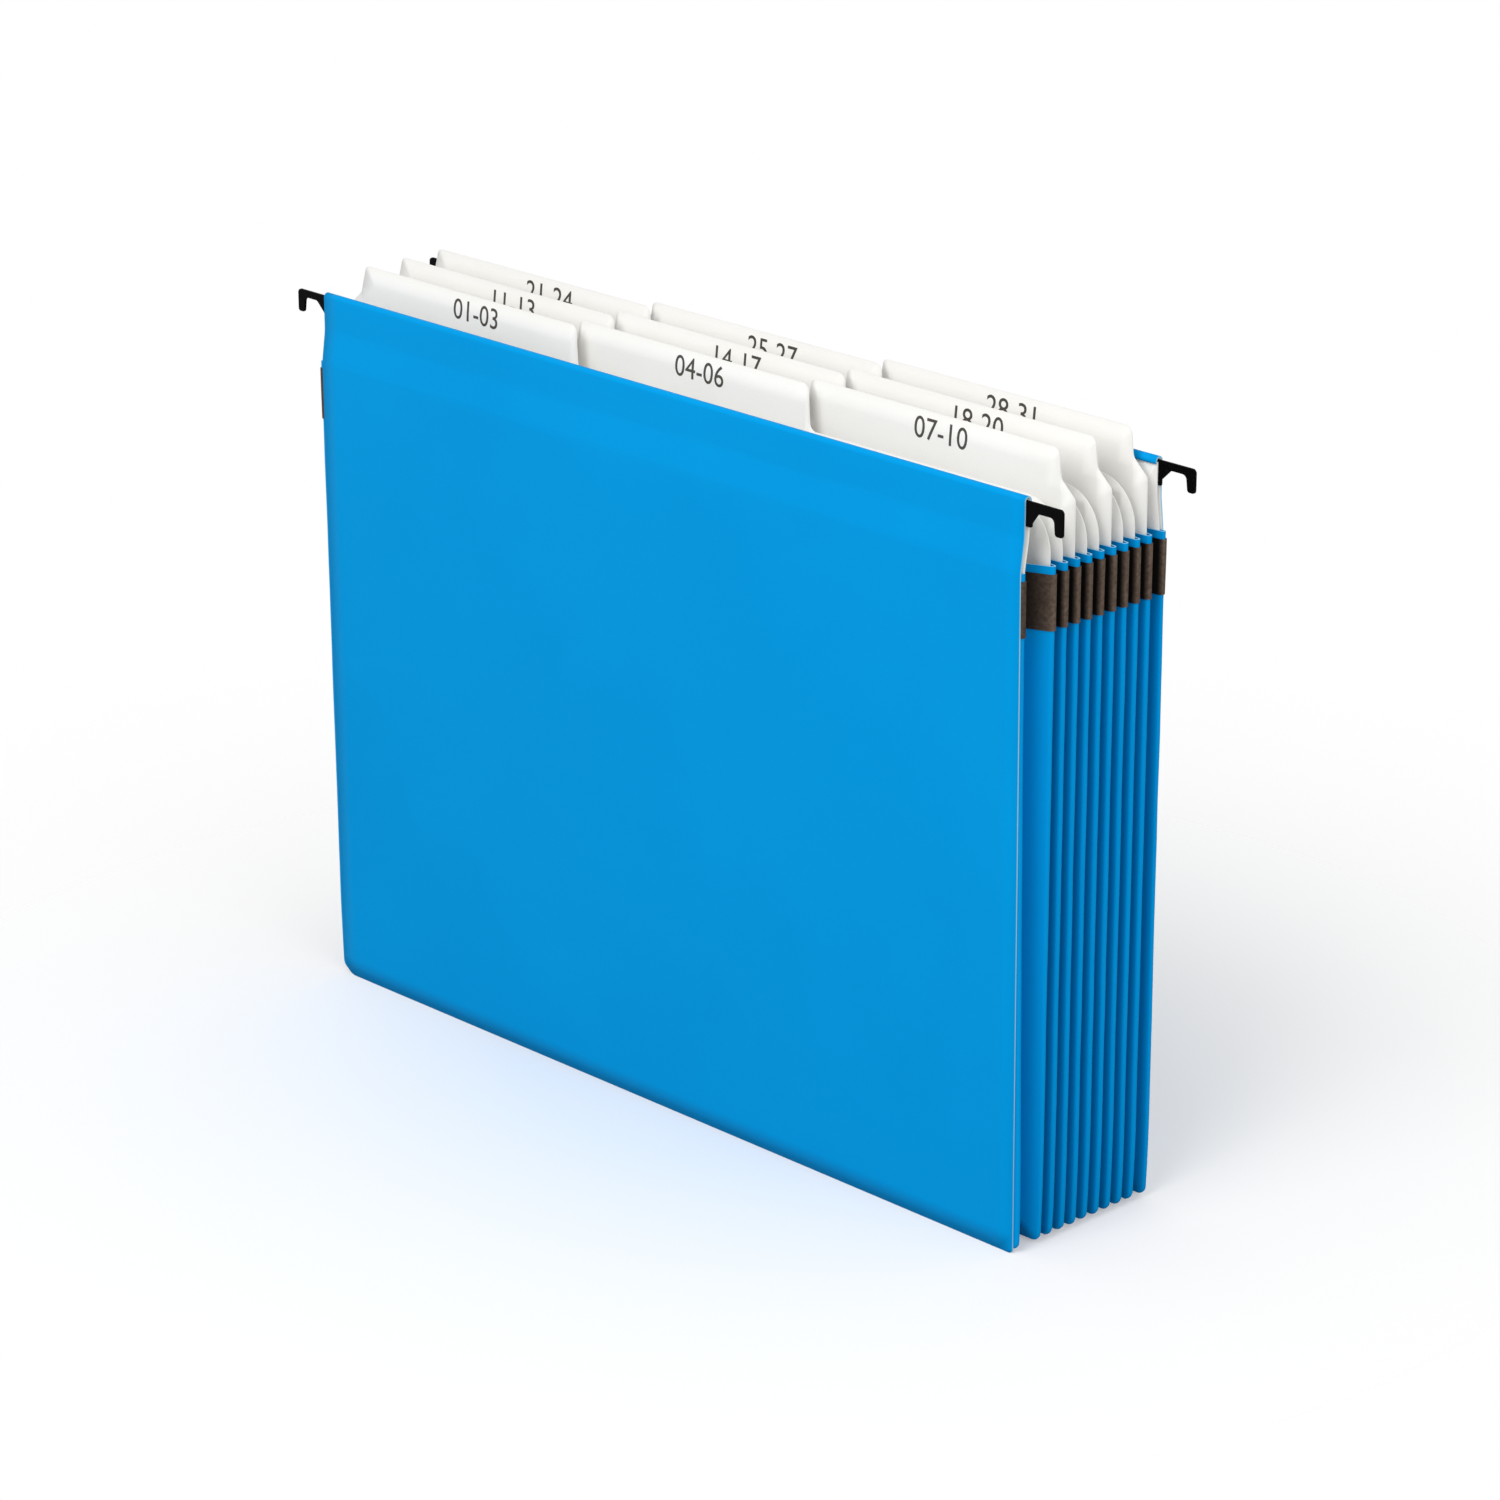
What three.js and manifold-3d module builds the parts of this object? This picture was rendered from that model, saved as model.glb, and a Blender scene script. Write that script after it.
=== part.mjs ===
// Hanging expanding file for letter-size papers, in millimetres, +Z up.
//
// Two card covers with hemmed tops carry flat hanger rods. One long strip of card, pleated like a
// bellows, runs down the left side, along the bottom and up the right side between them. Each outward
// fold of the bellows holds the edge of one white sheet: the two cover linings and nine dividers.
// X runs along the width, Y from the front cover to the back one. The origin is at the middle of the
// bottom edges.
import * as THREE from "three";
import { mergeVertices } from "three/addons/utils/BufferGeometryUtils.js";
import Module from "manifold-3d";

const wasm = await Module();
wasm.setup();

// Covers
const COVER_WIDTH = 298;
const COVER_HEIGHT = 229;
const COVER_ROUND_CORNER = 6;
const COVER_SQUARE_CORNER = 1.5;
const COVER_CARD = 0.5;
const COVER_BEND_RADIUS = 20;
const FRONT_BOTTOM_SETBACK = 2;
const FRONT_HEM_INSET = 1.4;
const BACK_HEM_INSET = 1.2;
const HEM_SLANT = 10;
const HEM_FLAP = 3;

// White inner sheets, and the play between sheets that are glued, folded or slid together
const INNER_CARD = 0.35;
const GLUE_GAP = 0.2;
const FOLD_PLAY = 0.325;

// Bellows gusset
const DIVIDER_COUNT = 9;
const FIRST_POCKET = 10.5;
const POCKET_PITCH = 5;
const LAST_POCKET = 5.6;
const GUSSET_CARD = 0.5;
const GUSSET_DROP = 22;
const GUSSET_OVERHANG = 2;
const GUSSET_CORNER = 3.5;
const GUSSET_FLOOR = 0.3;
const LEAF_LENGTH = 9.5;
const FLANGE_WIDTH = 12;
const TIGHTEST_CORNER = 0.8;

// Reinforcing tape over the pleats
const TAPE_CLOTH = 0.25;
const TAPE_GAP = 0.1;
const TAPE_DROP = 2.3;
const TAPE_HEIGHT = 18;
const TAPE_END_GAP = 0.3;
const VALLEY_PLAY = 0.3;

// Dividers
const DIVIDER_DROP = 5.5;
const DIVIDER_SHOULDER_RADIUS = 13.5;
const DIVIDER_CORNER = 1.5;
const TAB_RISE = 8;
const TAB_WIDTH = 97;
const TAB_END_INSET = 7.2;
const TAB_SIDE_SLOPE = 1.6;
const TAB_CORNER = 3;
const TAB_FILLET = 2.5;
const TAB_COLUMNS = 3;
const TAB_NECK_RISE = 5;

// Hanger rods
const ROD_LENGTH = 325;
const ROD_THICKNESS = 0.9;
const ROD_DEPTH = 7.5;
const ROD_TOP_GAP = 0.6;
const LINING_TOP_GAP = 1.2;
const LARGE_HOOK = { drop: 8, bar: 3, leg: 3.4, tip: 2.9, roof: 5.8, reach: 11.7, slope: 3.3 };
const SMALL_HOOK = { drop: 7.2, bar: 2.3, leg: 3.4, tip: 2.8, roof: 5.7, reach: 12.6, slope: 3.4 };
const HOOK_NOSE_RADIUS = 1.3;
const HOOK_TIP_RADIUS = 0.9;
const HOOK_ROOF_RADIUS = 1.5;
const HOOK_HEEL_RADIUS = 0.4;

// Sizes that follow from those above
const gussetTop = COVER_HEIGHT - GUSSET_DROP;
const hemBottom = gussetTop + HEM_SLANT;
const crestRadius = INNER_CARD / 2 + FOLD_PLAY + GUSSET_CARD / 2;
const valleyRadius = GUSSET_CARD / 2 + TAPE_GAP + TAPE_CLOTH + VALLEY_PLAY;
const coverToFold = COVER_CARD + GLUE_GAP + GUSSET_CARD / 2 + crestRadius;
const hemRoom = GLUE_GAP + ROD_THICKNESS + GLUE_GAP + INNER_CARD + GLUE_GAP;
const hemFoldRadius = (hemRoom + COVER_CARD) / 2;
const hemCrown = COVER_HEIGHT - COVER_CARD;
const rodTop = hemCrown - ROD_TOP_GAP;
const sheetFloor = GUSSET_FLOOR + GUSSET_OVERHANG;
const gussetHalfWidth = COVER_WIDTH / 2 + GUSSET_OVERHANG;
const firstDivider = coverToFold + FIRST_POCKET;
const dividerPlaces = Array.from({ length: DIVIDER_COUNT }, (_, i) => firstDivider + i * POCKET_PITCH);
const backFold = dividerPlaces[DIVIDER_COUNT - 1] + LAST_POCKET;
const crestPlaces = [coverToFold, ...dividerPlaces, backFold];
const fileDepth = backFold + coverToFold;

const coverBlue = { color: 0x0094dc, roughness: 0.55, metalness: 0 };
const linerWhite = { color: 0xe9e7e2, roughness: 0.7, metalness: 0 };
const dividerWhite = { color: 0xf4f2ee, roughness: 0.6, metalness: 0 };
const tapeBrown = { color: 0x3a2f28, roughness: 0.9, metalness: 0 };
const rodBlack = { color: 0x0b0b0c, roughness: 0.35, metalness: 0.3 };

function namedMesh(name, geometry, finish) {
  const mesh = new THREE.Mesh(geometry, new THREE.MeshStandardMaterial(finish));
  mesh.name = name;
  return mesh;
}

// Booleans between closed geometries

function toSolid(geometry) {
  const bare = geometry.clone();
  bare.deleteAttribute("normal");
  bare.deleteAttribute("uv");
  const merged = mergeVertices(bare, 1e-4);
  return new wasm.Manifold(new wasm.Mesh({
    numProp: 3,
    vertProperties: merged.getAttribute("position").array,
    triVerts: new Uint32Array(merged.index.array),
  }));
}

function toGeometry(solid) {
  const { vertProperties, triVerts } = solid.getMesh();
  const geometry = new THREE.BufferGeometry();
  geometry.setAttribute("position", new THREE.BufferAttribute(new Float32Array(vertProperties), 3));
  geometry.setIndex(new THREE.BufferAttribute(new Uint32Array(triVerts), 1));
  geometry.computeVertexNormals();
  return geometry;
}

// Flat outlines with rounded corners

// Corner entries are [u, v, radius]; a radius is limited to what its two edges can hold.
function roundedOutline(corners) {
  const shape = new THREE.Shape();
  corners.forEach(([u, v, radius], i) => {
    const corner = new THREE.Vector2(u, v);
    const before = new THREE.Vector2(...corners.at(i - 1)).sub(corner);
    const after = new THREE.Vector2(...corners[(i + 1) % corners.length]).sub(corner);
    const halfAngle = before.angleTo(after) / 2;
    const longest = 0.45 * Math.min(before.length(), after.length());
    const tangent = Math.min(radius / Math.tan(halfAngle), longest);
    const r = tangent * Math.tan(halfAngle);
    const start = before.clone().setLength(tangent);
    const end = after.clone().setLength(tangent);
    const centre = before.normalize().add(after.normalize()).setLength(r / Math.sin(halfAngle));
    const clockwise = start.cross(end) > 0;
    const startAngle = start.sub(centre).angle();
    const endAngle = end.sub(centre).angle();
    centre.add(corner);
    shape.absarc(centre.x, centre.y, r, startAngle, endAngle, clockwise);
  });
  return shape;
}

// A flat sheet standing in XZ, with its middle plane at Y = 0.
function standingSheet(outline, thickness, curveSegments) {
  const geometry = new THREE.ExtrudeGeometry(outline, { depth: thickness, bevelEnabled: false, curveSegments });
  geometry.rotateX(Math.PI / 2);
  geometry.translate(0, thickness / 2, 0);
  return geometry;
}

// Folded sheets seen from their edge: a centre line is a list of samples, each a point with the
// heading there, and a sheet is the band between two offsets to the right of it.

function offsetPoint({ point, heading }, offset) {
  return new THREE.Vector2(point.x + offset * Math.sin(heading), point.y - offset * Math.cos(heading));
}

function bandOutline(centreLine, offset, thickness) {
  const far = centreLine.map((sample) => offsetPoint(sample, offset + thickness / 2));
  const near = centreLine.map((sample) => offsetPoint(sample, offset - thickness / 2));
  return [...far, ...near.reverse()];
}

// Samples round a fold. A fold that turns left has its centre on the left of the line.
function foldSamples(centre, radius, startHeading, endHeading, steps) {
  const side = endHeading > startHeading ? radius : -radius;
  return Array.from({ length: steps + 1 }, (_, i) => {
    const heading = startHeading + ((endHeading - startHeading) * i) / steps;
    return { point: offsetPoint({ point: centre, heading }, side), heading };
  });
}

// A centre line through [u, v, bend radius] points, for sheets that are bent along straight lines.
function bentLine(points, steps) {
  const spots = points.map(([u, v]) => new THREE.Vector2(u, v));
  const headings = spots.slice(1).map((spot, i) => spot.clone().sub(spots[i]).angle());
  const line = [{ point: spots[0], heading: headings[0] }];
  for (let i = 1; i < spots.length - 1; i++) {
    const turn = THREE.MathUtils.euclideanModulo(headings[i] - headings[i - 1] + Math.PI, 2 * Math.PI) - Math.PI;
    const radius = points[i][2];
    const start = headings[i - 1];
    const tangent = radius * Math.tan(Math.abs(turn) / 2);
    const entry = spots[i].clone().sub(new THREE.Vector2(Math.cos(start), Math.sin(start)).multiplyScalar(tangent));
    const centre = offsetPoint({ point: entry, heading: start }, turn > 0 ? -radius : radius);
    line.push(...foldSamples(centre, radius, start, start + turn, steps));
  }
  line.push({ point: spots.at(-1), heading: headings.at(-1) });
  return line.filter((sample, i) => i === 0 || sample.point.distanceTo(line[i - 1].point) > 1e-6);
}

// A bent sheet: its edge profile in YZ, drawn out along X and trimmed to a flat outline in XZ.
function bentSheet(centreLine, thickness, trim) {
  const profile = new THREE.Shape(bandOutline(centreLine, 0, thickness));
  const drawn = new THREE.ExtrudeGeometry(profile, { depth: COVER_WIDTH + 2, bevelEnabled: false });
  drawn.translate(0, 0, -COVER_WIDTH / 2 - 1);
  const yAxis = new THREE.Vector3(0, 1, 0);
  const zAxis = new THREE.Vector3(0, 0, 1);
  const xAxis = new THREE.Vector3(1, 0, 0);
  drawn.applyMatrix4(new THREE.Matrix4().makeBasis(yAxis, zAxis, xAxis));
  return toGeometry(toSolid(drawn).intersect(toSolid(standingSheet(trim, 2 * fileDepth, 4))));
}

// Covers, in their own frame: outer face at Y = 0 and the inside of the file towards +Y

// How far the cover stands back at a height, because a file opened at the top leans out there.
function setbackAt(z, setback) {
  return setback * Math.max(0, 1 - z / gussetTop);
}

// A rectangle as wide as the covers, with its two bottom corners rounded.
function trimOutline(bottom, leftCorner, rightCorner) {
  const side = COVER_WIDTH / 2;
  const above = COVER_HEIGHT + 1;
  return roundedOutline([
    [-side, bottom, leftCorner],
    [side, bottom, rightCorner],
    [side, above, 0.1],
    [-side, above, 0.1],
  ]);
}

function coverPanel(name, hemInset, setback) {
  const middle = COVER_CARD / 2;
  const outside = hemInset + middle;
  const inside = outside + 2 * hemFoldRadius;
  const crown = COVER_HEIGHT - middle;
  const line = bentLine([
    [middle + setback, 0, 0],
    [middle, gussetTop, COVER_BEND_RADIUS],
    [outside, hemBottom, COVER_BEND_RADIUS],
    [outside, crown, hemFoldRadius],
    [inside, crown, hemFoldRadius],
    [inside, COVER_HEIGHT - HEM_FLAP, 0],
  ], 4);
  const trim = trimOutline(0, COVER_ROUND_CORNER, COVER_SQUARE_CORNER);
  return namedMesh(name, bentSheet(line, COVER_CARD, trim), coverBlue);
}

function coverLining(name, hemInset, setback) {
  const inHem = hemInset + COVER_CARD + 2 * GLUE_GAP + ROD_THICKNESS + INNER_CARD / 2;
  const line = bentLine([
    [coverToFold + setbackAt(sheetFloor, setback), sheetFloor, 0],
    [coverToFold, gussetTop, COVER_BEND_RADIUS],
    [inHem, hemBottom, COVER_BEND_RADIUS],
    [inHem, hemCrown - LINING_TOP_GAP, 0],
  ], 4);
  const trim = trimOutline(sheetFloor, DIVIDER_CORNER, DIVIDER_CORNER);
  return namedMesh(name, bentSheet(line, INNER_CARD, trim), linerWhite);
}

// One end of a rod, from the bottom of its body round the hook to the top. X is measured from the tip.
function hookCorners(hook) {
  const roofEnd = hook.leg + hook.roof;
  return [
    [hook.reach, ROD_DEPTH, HOOK_HEEL_RADIUS],
    [hook.reach, hook.bar + hook.slope, HOOK_HEEL_RADIUS],
    [roofEnd, hook.bar, HOOK_ROOF_RADIUS],
    [hook.leg, hook.bar, HOOK_ROOF_RADIUS],
    [hook.tip, hook.drop, HOOK_TIP_RADIUS],
    [0, hook.drop, HOOK_TIP_RADIUS],
    [0, 0, HOOK_NOSE_RADIUS],
  ];
}

function hangerRod(name, hemInset) {
  const half = ROD_LENGTH / 2;
  const right = hookCorners(LARGE_HOOK).map(([along, down, r]) => [half - along, rodTop - down, r]);
  const left = hookCorners(SMALL_HOOK).map(([along, down, r]) => [along - half, rodTop - down, r]);
  const mesh = namedMesh(name, standingSheet(roundedOutline([...right, ...left.reverse()]), ROD_THICKNESS, 2), rodBlack);
  mesh.position.y = hemInset + COVER_CARD + GLUE_GAP + ROD_THICKNESS / 2;
  return mesh;
}

function cover(side, hemInset, setback) {
  const group = new THREE.Group();
  group.add(coverPanel(side + "_panel", hemInset, setback));
  group.add(coverLining(side + "_liner", hemInset, setback));
  group.add(hangerRod(side + "_rod", hemInset));
  return group;
}

// Bellows: its section is drawn in (n, y), where n is the distance outwards from the line of the
// outermost folds and y the depth in the file, and is swept along the U of sides and bottom.

const crestDepth = -(crestRadius + GUSSET_CARD / 2);

// Heading of the straight leaf between two folds that turn opposite ways.
function leafHeading(from, to, fromCrest) {
  const span = to.clone().sub(from);
  const lean = Math.asin((crestRadius + valleyRadius) / span.length());
  return fromCrest ? span.angle() + lean : span.angle() - lean;
}

// The zigzag centre line, from the glued flange behind the front cover to the one before the back cover.
function pleatLine() {
  const folds = [];
  crestPlaces.forEach((y, i) => {
    if (i > 0) {
      const halfPocket = (y - crestPlaces[i - 1]) / 2;
      const reach = Math.sqrt(LEAF_LENGTH ** 2 - halfPocket ** 2);
      folds.push({ centre: new THREE.Vector2(crestDepth - reach, y - halfPocket), radius: valleyRadius, steps: 3 });
    }
    folds.push({ centre: new THREE.Vector2(crestDepth, y), radius: crestRadius, steps: 4 });
  });
  const leaves = folds.slice(1).map((fold, i) => leafHeading(folds[i].centre, fold.centre, i % 2 === 0));
  const headings = [0, ...leaves, Math.PI];
  const line = folds.flatMap(({ centre, radius, steps }, i) =>
    foldSamples(centre, radius, headings[i], headings[i + 1], steps));
  return line;
}

// The zigzag with a straight end of the given reach added at both covers.
function pleatLineWithEnds(reach) {
  const line = pleatLine();
  const first = { point: new THREE.Vector2(-reach, line[0].point.y), heading: 0 };
  const last = { point: new THREE.Vector2(-reach, line.at(-1).point.y), heading: Math.PI };
  return [first, ...line, last];
}

// Places along one side of the U: straight at a height, or round the bottom corner by an angle.
function sidePlace(side, n, z) {
  return { x: side * (gussetHalfWidth + n), z };
}

function cornerPlace(side, n, angle) {
  const radius = Math.max(GUSSET_CORNER + n, TIGHTEST_CORNER);
  const x = side * (gussetHalfWidth + n - radius * (1 - Math.cos(angle)));
  return { x, z: GUSSET_FLOOR - n + radius * (1 - Math.sin(angle)) };
}

// Sweeps a section through the places. What is near the front cover follows its setback.
function sweptPleats(section, places) {
  const outline = THREE.ShapeUtils.isClockWise(section) ? [...section].reverse() : section;
  const positions = [];
  places.forEach((placeAt) => outline.forEach(({ x: n, y }) => {
    const { x, z } = placeAt(n);
    const share = THREE.MathUtils.clamp((firstDivider - y) / FIRST_POCKET, 0, 1);
    positions.push(x, y + share * setbackAt(z, FRONT_BOTTOM_SETBACK), z);
  }));
  const count = outline.length;
  const lastRing = (places.length - 1) * count;
  const faces = THREE.ShapeUtils.triangulateShape(outline, []).flatMap(([a, b, c]) =>
    [c, b, a, lastRing + a, lastRing + b, lastRing + c]);
  for (let ring = 0; ring < lastRing; ring += count) {
    for (let j = 0; j < count; j++) {
      const k = (j + 1) % count;
      faces.push(ring + j, ring + k, ring + count + k, ring + j, ring + count + k, ring + count + j);
    }
  }
  const geometry = new THREE.BufferGeometry();
  geometry.setAttribute("position", new THREE.Float32BufferAttribute(positions, 3));
  geometry.setIndex(faces);
  geometry.computeVertexNormals();
  return geometry;
}

function gusset() {
  const cornerSteps = 4;
  const angles = Array.from({ length: cornerSteps + 1 }, (_, i) => (i * Math.PI) / 2 / cornerSteps);
  const places = [
    (n) => sidePlace(-1, n, gussetTop),
    ...angles.map((angle) => (n) => cornerPlace(-1, n, angle)),
    ...angles.toReversed().map((angle) => (n) => cornerPlace(1, n, angle)),
    (n) => sidePlace(1, n, gussetTop),
  ];
  const section = bandOutline(pleatLineWithEnds(FLANGE_WIDTH), 0, GUSSET_CARD);
  return namedMesh("gusset", sweptPleats(section, places), coverBlue);
}

// The tape is glued over the outside of the pleats and ends just clear of the covers' side edges.
function tape(name, side) {
  const top = gussetTop - TAPE_DROP;
  const heights = side > 0 ? [top - TAPE_HEIGHT, top] : [top, top - TAPE_HEIGHT];
  const offset = GUSSET_CARD / 2 + TAPE_GAP + TAPE_CLOTH / 2;
  const section = bandOutline(pleatLineWithEnds(GUSSET_OVERHANG - TAPE_END_GAP), offset, TAPE_CLOTH);
  const places = heights.map((z) => (n) => sidePlace(side, n, z));
  return namedMesh(name, sweptPleats(section, places), tapeBrown);
}

// Dividers

// Outline of a divider whose tab is in the given column, from 0 at the left to 2 at the right.
function dividerOutline(column) {
  const side = COVER_WIDTH / 2;
  const bodyTop = COVER_HEIGHT - DIVIDER_DROP;
  const tabTop = COVER_HEIGHT + TAB_RISE;
  const neck = bodyTop + TAB_NECK_RISE;
  const outerTabs = side - TAB_END_INSET - TAB_WIDTH / 2;
  const middle = outerTabs * (column - 1);
  const leftTop = middle - TAB_WIDTH / 2;
  const rightTop = middle + TAB_WIDTH / 2;
  const shoulder = DIVIDER_SHOULDER_RADIUS;
  const rightEnd = column === TAB_COLUMNS - 1
    ? [[side, bodyTop, TAB_FILLET], [rightTop + TAB_SIDE_SLOPE, neck, TAB_FILLET]]
    : [[side, bodyTop, shoulder], [rightTop + TAB_SIDE_SLOPE, bodyTop, TAB_FILLET]];
  const leftEnd = column === 0
    ? [[leftTop - TAB_SIDE_SLOPE, neck, TAB_FILLET], [-side, bodyTop, TAB_FILLET]]
    : [[leftTop - TAB_SIDE_SLOPE, bodyTop, TAB_FILLET], [-side, bodyTop, shoulder]];
  return roundedOutline([
    [-side, sheetFloor, DIVIDER_CORNER],
    [side, sheetFloor, DIVIDER_CORNER],
    ...rightEnd,
    [rightTop, tabTop, TAB_CORNER],
    [leftTop, tabTop, TAB_CORNER],
    ...leftEnd,
  ]);
}

function divider(index) {
  const outline = dividerOutline(index % TAB_COLUMNS);
  const mesh = namedMesh("divider_" + (index + 1), standingSheet(outline, INNER_CARD, 2), dividerWhite);
  mesh.position.y = dividerPlaces[index];
  return mesh;
}

// Assembly: the back cover is the same cover turned round.

const file = new THREE.Group();
file.position.y = -fileDepth / 2;

const frontCover = cover("front", FRONT_HEM_INSET, FRONT_BOTTOM_SETBACK);
const backCover = cover("back", BACK_HEM_INSET, 0);
backCover.rotation.z = Math.PI;
backCover.position.y = fileDepth;

file.add(frontCover, backCover, gusset(), tape("tape_left", -1), tape("tape_right", 1));
for (let i = 0; i < DIVIDER_COUNT; i++) file.add(divider(i));

const hangingFile = new THREE.Group();
hangingFile.add(file);

export default hangingFile;
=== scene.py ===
import math

import bmesh
import bpy
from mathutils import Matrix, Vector
from mathutils.bvhtree import BVHTree


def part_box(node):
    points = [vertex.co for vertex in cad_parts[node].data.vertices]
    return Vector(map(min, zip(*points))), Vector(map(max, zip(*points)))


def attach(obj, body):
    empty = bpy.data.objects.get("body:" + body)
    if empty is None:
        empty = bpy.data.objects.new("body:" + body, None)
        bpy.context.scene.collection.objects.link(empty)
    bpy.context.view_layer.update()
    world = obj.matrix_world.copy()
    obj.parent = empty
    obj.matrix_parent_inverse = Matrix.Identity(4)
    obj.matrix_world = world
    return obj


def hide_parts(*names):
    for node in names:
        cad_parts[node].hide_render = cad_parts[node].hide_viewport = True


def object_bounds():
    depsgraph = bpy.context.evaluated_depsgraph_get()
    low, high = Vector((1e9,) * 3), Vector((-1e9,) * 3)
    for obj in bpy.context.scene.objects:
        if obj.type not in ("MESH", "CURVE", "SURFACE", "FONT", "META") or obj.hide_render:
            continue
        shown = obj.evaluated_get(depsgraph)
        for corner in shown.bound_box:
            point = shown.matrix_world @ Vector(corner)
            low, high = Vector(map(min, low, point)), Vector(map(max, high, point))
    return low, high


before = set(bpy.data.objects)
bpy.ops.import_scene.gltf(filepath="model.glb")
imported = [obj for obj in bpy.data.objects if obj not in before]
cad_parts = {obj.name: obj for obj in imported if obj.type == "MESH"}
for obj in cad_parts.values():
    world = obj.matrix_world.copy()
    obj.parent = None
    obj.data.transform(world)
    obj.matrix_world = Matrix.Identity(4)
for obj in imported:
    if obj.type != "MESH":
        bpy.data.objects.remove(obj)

MM = 0.001
cad_low, cad_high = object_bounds()


# Node trees as code, for the materials and the geometry trees alike

class Value:
    """A node's output, which takes part in sums as a number or a vector does."""

    def __init__(self, graph, socket):
        self.graph = graph
        self.socket = socket

    def other(self, name):
        """Another output of the same node."""
        return Value(self.graph, self.socket.node.outputs[name])

    def __add__(self, value):
        return self.graph.math("ADD", self, value)

    def __radd__(self, value):
        return self.graph.math("ADD", value, self)

    def __sub__(self, value):
        return self.graph.math("SUBTRACT", self, value)

    def __rsub__(self, value):
        return self.graph.math("SUBTRACT", value, self)

    def __mul__(self, value):
        return self.graph.math("MULTIPLY", self, value)

    def __truediv__(self, value):
        return self.graph.math("DIVIDE", self, value)

    def __rtruediv__(self, value):
        return self.graph.math("DIVIDE", value, self)

    def __pow__(self, value):
        return self.graph.math("POWER", self, value)


class Graph:
    """A node tree that is written as code."""

    def __init__(self, tree):
        self.tree = tree

    def node(self, kind, settings, inputs, output=0):
        """Any node: its type, then its settings, then what goes into its sockets."""
        made = self.tree.nodes.new(kind)
        for name, value in settings.items():
            setattr(made, name, value)
        for name, value in inputs.items():
            self.feed(made.inputs[name], value)
        return Value(self, made.outputs[output]) if made.outputs else made

    def feed(self, socket, value):
        if isinstance(value, Value):
            self.tree.links.new(value.socket, socket)
        elif socket.type == "VECTOR" and not hasattr(value, "__len__"):
            socket.default_value = (value, value, value)
        else:
            socket.default_value = value

    def math(self, operation, *values):
        vectors = any(isinstance(v, Value) and v.socket.type == "VECTOR" for v in values)
        kind = "ShaderNodeVectorMath" if vectors else "ShaderNodeMath"
        return self.node(kind, {"operation": operation}, dict(enumerate(values)))

    def clamp(self, value):
        return self.node("ShaderNodeClamp", {}, {"Value": value})

    def vector(self, x, y, z):
        return self.node("ShaderNodeCombineXYZ", {}, {"X": x, "Y": y, "Z": z})

    def split(self, vector):
        x = self.node("ShaderNodeSeparateXYZ", {}, {"Vector": vector})
        return x, x.other("Y"), x.other("Z")

    def colours(self, factor, first, second):
        """A colour between two, by a factor from 0 to 1."""
        settings = {"data_type": "RGBA", "clamp_factor": True}
        return self.node("ShaderNodeMix", settings, {0: factor, 6: first, 7: second}, 2)

    def noise(self, place, size, detail=2.0, seed=0.0):
        """Smooth noise about 0.5, with cells of the given size."""
        inputs = {"Vector": place, "Scale": 1 / size, "Detail": detail, "W": seed}
        return self.node("ShaderNodeTexNoise", {"noise_dimensions": "4D"}, inputs)


def srgb(red, green, blue):
    """A colour read off a photograph, 0 to 255, as the linear light that nodes take."""
    channels = [c / 255 for c in (red, green, blue)]
    linear = (c / 12.92 if c < 0.04045 else ((c + 0.055) / 1.055) ** 2.4 for c in channels)
    return tuple(linear) + (1.0,)


def new_material(name):
    """A material's graph, its principled shader and the place on the object in metres."""
    material = bpy.data.materials.new(name)
    material.use_nodes = True
    graph = Graph(material.node_tree)
    shader = material.node_tree.nodes["Principled BSDF"]
    place = graph.node("ShaderNodeTexCoord", {}, {}, "Object")
    return material, graph, shader, place


# Photograph's camera: a long lens from the front right, a little above the file, level and centred.
# The distance, the two angles and the focal length come from fitting the file's corners.
CAMERA_AZIMUTH = math.radians(45.653)
CAMERA_ELEVATION = math.radians(20.13)
CAMERA_DISTANCE = 1.5878
CAMERA_TARGET = Vector((12.02 * MM, 0.25 * MM, 112.06 * MM))
CAMERA_LENS = 125.9
CAMERA_SENSOR = 36

camera = bpy.data.objects.new("camera", bpy.data.cameras.new("camera"))
bpy.context.scene.collection.objects.link(camera)
backwards = Vector((
    math.sin(CAMERA_AZIMUTH) * math.cos(CAMERA_ELEVATION),
    -math.cos(CAMERA_AZIMUTH) * math.cos(CAMERA_ELEVATION),
    math.sin(CAMERA_ELEVATION),
))
camera.location = CAMERA_TARGET + backwards * CAMERA_DISTANCE
camera.rotation_euler = (-backwards).to_track_quat("-Z", "Y").to_euler()
camera.data.sensor_width = CAMERA_SENSOR
camera.data.lens = CAMERA_LENS
bpy.context.scene.camera = camera
bpy.context.scene.view_settings.view_transform = "Standard"


# Studio: a large soft light from the front and above, a weaker one from the right, a backdrop
# that looks white but lights the file less, and a pale floor that fades into it.
KEY_PLACE = Vector((0.25, -1.3, 1.35))
KEY_POWER = 17.4
FILL_PLACE = Vector((1.5, -0.4, 0.9))
FILL_POWER = 6
LIGHT_SIZE = 1.2
SKY_STRENGTH = 0.57
FLOOR_RADIUS = 0.46
FLOOR_FADE_START = 0.06
FLOOR_SEGMENTS = 96
FLOOR_ROUGHNESS = 0.9
FLOOR_COLOUR = (1.0, 1.0, 1.0, 1.0)
FLOOR_BOUNCE = (0.4, 0.4, 0.4, 1.0)


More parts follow.
